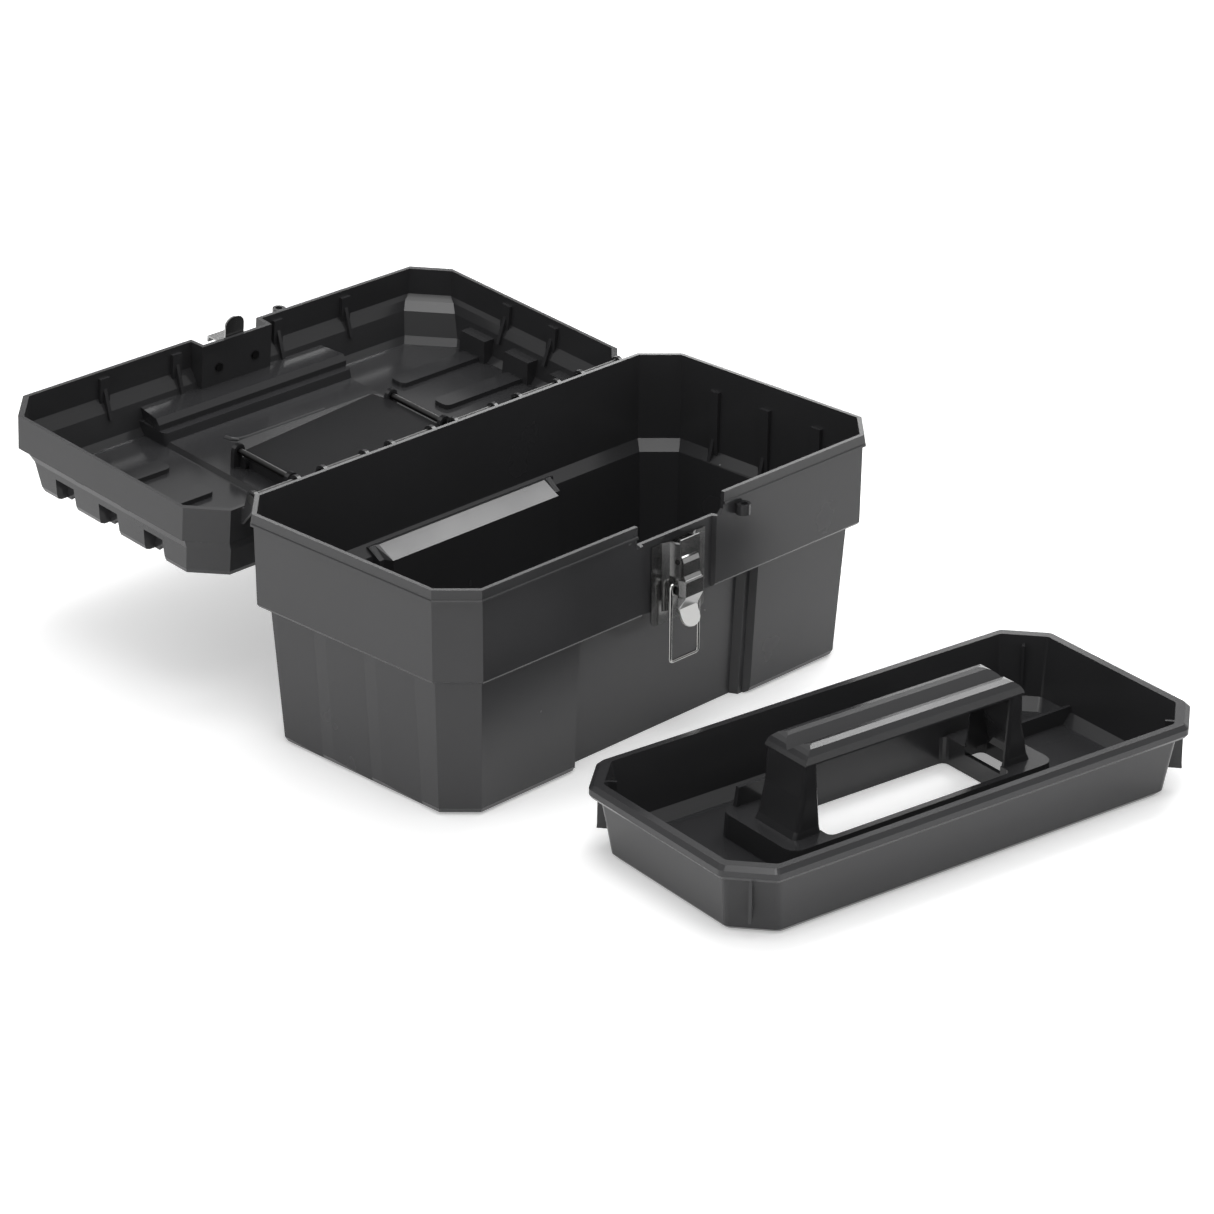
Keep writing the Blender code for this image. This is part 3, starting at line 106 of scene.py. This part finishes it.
def plastic(name, colour, roughness, index=PLASTIC_INDEX):
    """Black moulded plastic: fine surface grain and slightly uneven gloss."""
    made, tree, shader = shader_tree(name)
    patches = noise(tree, PLASTIC_PATCHES, 4.0, 0.55)
    paler = (colour[0] * 1.25, colour[1] * 1.25, colour[2] * 1.3)
    blend_colour(tree, patches, shader, colour, paler)
    gloss = ramp(tree, patches, roughness - 0.03, roughness + 0.04)
    tree.links.new(gloss, shader.inputs["Roughness"])
    shader.inputs["IOR"].default_value = index
    bump = tree.nodes.new("ShaderNodeBump")
    bump.inputs["Strength"].default_value = 0.25
    bump.inputs["Distance"].default_value = PLASTIC_GRAIN_HEIGHT
    tree.links.new(noise(tree, PLASTIC_GRAIN, 2.0), bump.inputs["Height"])
    tree.links.new(bump.outputs["Normal"], shader.inputs["Normal"])
    return made


def metal(name, colour, roughness):
    """Plated or bare steel with faint patches in its tone and gloss."""
    made, tree, shader = shader_tree(name)
    patches = noise(tree, METAL_PATCHES, 4.0, 0.6)
    darker = (colour[0] * 0.86, colour[1] * 0.86, colour[2] * 0.85)
    blend_colour(tree, patches, shader, colour, darker)
    gloss = ramp(tree, patches, roughness, roughness + METAL_ROUGHNESS_SPREAD)
    tree.links.new(gloss, shader.inputs["Roughness"])
    shader.inputs["Metallic"].default_value = 1.0
    return made


BLACK = (0.024, 0.024, 0.0246)
BOX_PLASTIC = plastic("box_plastic", BLACK, 0.24)
LID_PLASTIC = plastic("lid_plastic", BLACK, 0.18)
TRAY_PLASTIC = plastic("tray_plastic", BLACK, 0.18)
LID_POCKET = plastic("lid_pocket", (0.012, 0.012, 0.0124), 0.42, 1.09)
HANDLE_PLASTIC = plastic("handle_plastic", BLACK, 0.36)
# Paler, glossier black for the moulded edges' rounded strip: a painted highlight along the
# bevels
PAINTED_EDGE_HIGHLIGHT = plastic("painted_edge_highlight", (0.05, 0.05, 0.052), 0.3)
NICKEL = metal("nickel_plate", (0.33, 0.33, 0.33), 0.18)
LEVER_NICKEL = metal("lever_nickel", (0.4, 0.4, 0.4), 0.16)
BRIGHT_WIRE = metal("bright_wire", (0.5, 0.5, 0.49), 0.14)
# Near-white metal for the plated parts' rounded strip: a painted highlight along the latch's
# bevels
PAINTED_METAL_EDGE_HIGHLIGHT = metal("painted_metal_edge_highlight", (0.9, 0.9, 0.89), 0.3)
# Near-white metal for the lever's finger tab: a painted highlight on the same plated steel
PAINTED_TAB_HIGHLIGHT = metal("painted_tab_highlight", (0.92, 0.92, 0.91), 0.3)
ROD_STEEL = metal("rod_steel", (0.05, 0.05, 0.05), 0.3)

# Each node's finish; pins, rods and rivets that aren't named here are dark steel
FINISH = {
    "body_tub": BOX_PLASTIC,
    "lid_shell": LID_PLASTIC,
    "tray_shell": TRAY_PLASTIC,
    "carry_handle": HANDLE_PLASTIC,
    "latch_base": NICKEL,
    "latch_lever": LEVER_NICKEL,
    "latch_bail": BRIGHT_WIRE,
    "lid_catch": NICKEL,
}

# Each node's edges: width, material of the rounded strip (a painted highlight where one is
# given), and smallest bend that is rounded
MOULDED = (MOULDED_EDGE, PAINTED_EDGE_HIGHLIGHT, MOULDED_BEND)
PLATED = (PLATED_EDGE, PAINTED_METAL_EDGE_HIGHLIGHT, METAL_BEND)
PLAIN = (SMALL_EDGE, None, METAL_BEND)
EDGES = {
    "body_tub": MOULDED,
    "lid_shell": MOULDED,
    "tray_shell": MOULDED,
    "carry_handle": (HANDLE_EDGE, None, HANDLE_BEND),
    "latch_base": PLATED,
    "latch_lever": PLATED,
    "lid_catch": PLATED,
}


# ---- The CAD shapes with softened edges ----------------------------------------------
def soften(piece, width, edge_highlight_paint, bend):
    """Merge the flat faces, round the edges and keep the flats looking flat."""
    dissolve = piece.modifiers.new("merge_flats", "DECIMATE")
    dissolve.decimate_type = "DISSOLVE"
    dissolve.angle_limit = math.radians(FLAT_LIMIT)
    dissolve.delimit = {"MATERIAL"}
    bevel = piece.modifiers.new("edge_rounding", "BEVEL")
    bevel.width = width
    bevel.segments = EDGE_SEGMENTS
    bevel.limit_method = "ANGLE"
    bevel.angle_limit = math.radians(bend)
    bevel.use_clamp_overlap = True
    bevel.face_strength_mode = "FSTR_AFFECTED"
    # The rounded strip gets its own paler material: a painted highlight along the edge
    if edge_highlight_paint is not None:
        piece.data.materials.append(edge_highlight_paint)
        bevel.material = len(piece.data.materials) - 1
    weigh = piece.modifiers.new("flat_shading", "WEIGHTED_NORMAL")
    weigh.mode = "FACE_AREA_WITH_ANGLE"
    weigh.use_face_influence = True
    weigh.keep_sharp = False
    weigh.weight = FLAT_WEIGHT


def dress(piece, name):
    """Give a CAD node its finish and its rounded edges."""
    piece.data.materials.clear()
    piece.data.materials.append(FINISH.get(name, ROD_STEEL))
    piece.data.shade_smooth()
    soften(piece, *EDGES.get(name, PLAIN))


def give_faces_material(mesh, surface_material, chosen):
    """Give the faces that chosen() picks a material of their own (the pocket's matt finish, the
    tab's painted highlight).
    """
    mesh.materials.append(surface_material)
    for face in mesh.polygons:
        if chosen(face):
            face.material_index = len(mesh.materials) - 1


POCKET_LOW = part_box("handle_rod_left")[0]
POCKET_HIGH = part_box("handle_rod_right")[1]


def in_pocket(face):
    """Whether a face of the lid is the matt floor of the handle's pocket, between the rods."""
    inside = all(POCKET_LOW[axis] < face.center[axis] < POCKET_HIGH[axis] for axis in (0, 1))
    return inside and face.center.z > POCKET_LOW[2] - POCKET_DEPTH and face.normal.z > FACING_UP


for node_name, node_piece in nodes.items():
    dress(node_piece, node_name)
give_faces_material(nodes["lid_shell"].data, LID_POCKET, in_pocket)
# The lever's faces below TAB_TOP get the near-white painted highlight
give_faces_material(nodes["latch_lever"].data, PAINTED_TAB_HIGHLIGHT, lambda face: face.center.z < TAB_TOP)


# ---- Floor, light and camera ---------------------------------------------------------
def area_light(name, place, target, size, power):
    """A rectangular white lamp at a place, turned towards a target."""
    lamp = bpy.data.lights.new(name, "AREA")
    lamp.shape = "RECTANGLE"
    lamp.size = size[0]
    lamp.size_y = size[1]
    lamp.energy = power
    made = bpy.data.objects.new(name, lamp)
    bpy.context.scene.collection.objects.link(made)
    made.location = place
    made.rotation_euler = (Vector(target) - Vector(place)).to_track_quat("-Z", "Y").to_euler()


def make_floor():
    """Pale matt floor, just under what stands on it."""
    bm = bmesh.new()
    bmesh.ops.create_grid(bm, x_segments=1, y_segments=1, size=FLOOR_HALF)
    mesh = bpy.data.meshes.new("floor")
    bm.to_mesh(mesh)
    bm.free()
    made = bpy.data.objects.new("floor", mesh)
    bpy.context.scene.collection.objects.link(made)
    made.location.z = -FLOOR_DROP
    surface_material, tree, shader = shader_tree("pale_floor")
    blend_colour(tree, noise(tree, 2.0, 2.0), shader, (0.93, 0.93, 0.93), (0.95, 0.95, 0.95))
    shader.inputs["Roughness"].default_value = 0.9
    shader.inputs["Emission Color"].default_value = (1.0, 1.0, 1.0, 1.0)
    shader.inputs["Emission Strength"].default_value = FLOOR_GLOW
    mesh.materials.append(surface_material)


def make_world():
    """Soft white studio: brighter towards the horizon, a little dimmer overhead."""
    world = bpy.data.worlds.new("studio")
    world.use_nodes = True
    tree = world.node_tree
    sky = tree.nodes["Background"]
    coords = tree.nodes.new("ShaderNodeTexCoord")
    split = tree.nodes.new("ShaderNodeSeparateXYZ")
    tree.links.new(coords.outputs["Generated"], split.inputs["Vector"])
    level = ramp(tree, split.outputs["Z"], 0.68, 0.4, 0.1, 0.9)
    tree.links.new(level, sky.inputs["Strength"])
    sky.inputs["Color"].default_value = (1.0, 1.0, 1.0, 1.0)
    bpy.context.scene.world = world


def make_camera():
    """The viewpoint: front left of the box, a little above it, with a long lens."""
    lens = bpy.data.cameras.new("camera")
    lens.sensor_width = 36.0
    lens.lens = CAMERA_LENS
    lens.shift_x = 0.0076
    lens.shift_y = -0.0001
    lens.clip_start = 0.05
    lens.clip_end = 50.0
    made = bpy.data.objects.new("camera", lens)
    bpy.context.scene.collection.objects.link(made)
    yaw = math.radians(CAMERA_YAW)
    pitch = math.radians(CAMERA_PITCH)
    level = math.cos(pitch)
    back = Vector((math.sin(yaw) * level, -math.cos(yaw) * level, math.sin(pitch)))
    facing = back.to_track_quat("Z", "Y").to_matrix().to_4x4()
    tilt = Matrix.Rotation(math.radians(CAMERA_ROLL), 4, "Z")
    made.matrix_world = Matrix.Translation(CAMERA_PLACE) @ facing @ tilt
    bpy.context.scene.camera = made


def make_lights():
    """Two lamps overhead, one low behind for the rims, and small ones for ledges and walls."""
    area_light("top_wide", (0.4, 0.5, 2.6), (0.4, 0.5, 0.0), (5.0, 5.0), 28.0)
    area_light("top_bright", (0.3, 0.25, 1.9), (0.1, 0.0, 0.0), (1.1, 1.1), 11.0)
    area_light("back_right", (2.05, 2.03, 1.0), (0.0, 0.1, 0.1), (1.7, 0.5), 11.0)
    area_light("right_ledge", (1.5, 0.11, 1.95), (0.0, 0.08, 0.09), (0.75, 0.6), 13.0)
    area_light("left_facets", (-0.45, -0.65, 2.0), (0.12, 0.25, 0.1), (0.8, 0.8), 9.0)
    area_light("key_left", (-2.2, 0.3, 1.0), (0.0, 0.0, 0.1), (1.4, 1.2), 7.0)
    area_light("fill_front", (0.5, -2.4, 0.7), (0.0, 0.0, 0.1), (0.9, 0.7), 3.0)


make_floor()
make_world()
make_camera()
make_lights()
bpy.context.scene.view_settings.view_transform = "Standard"
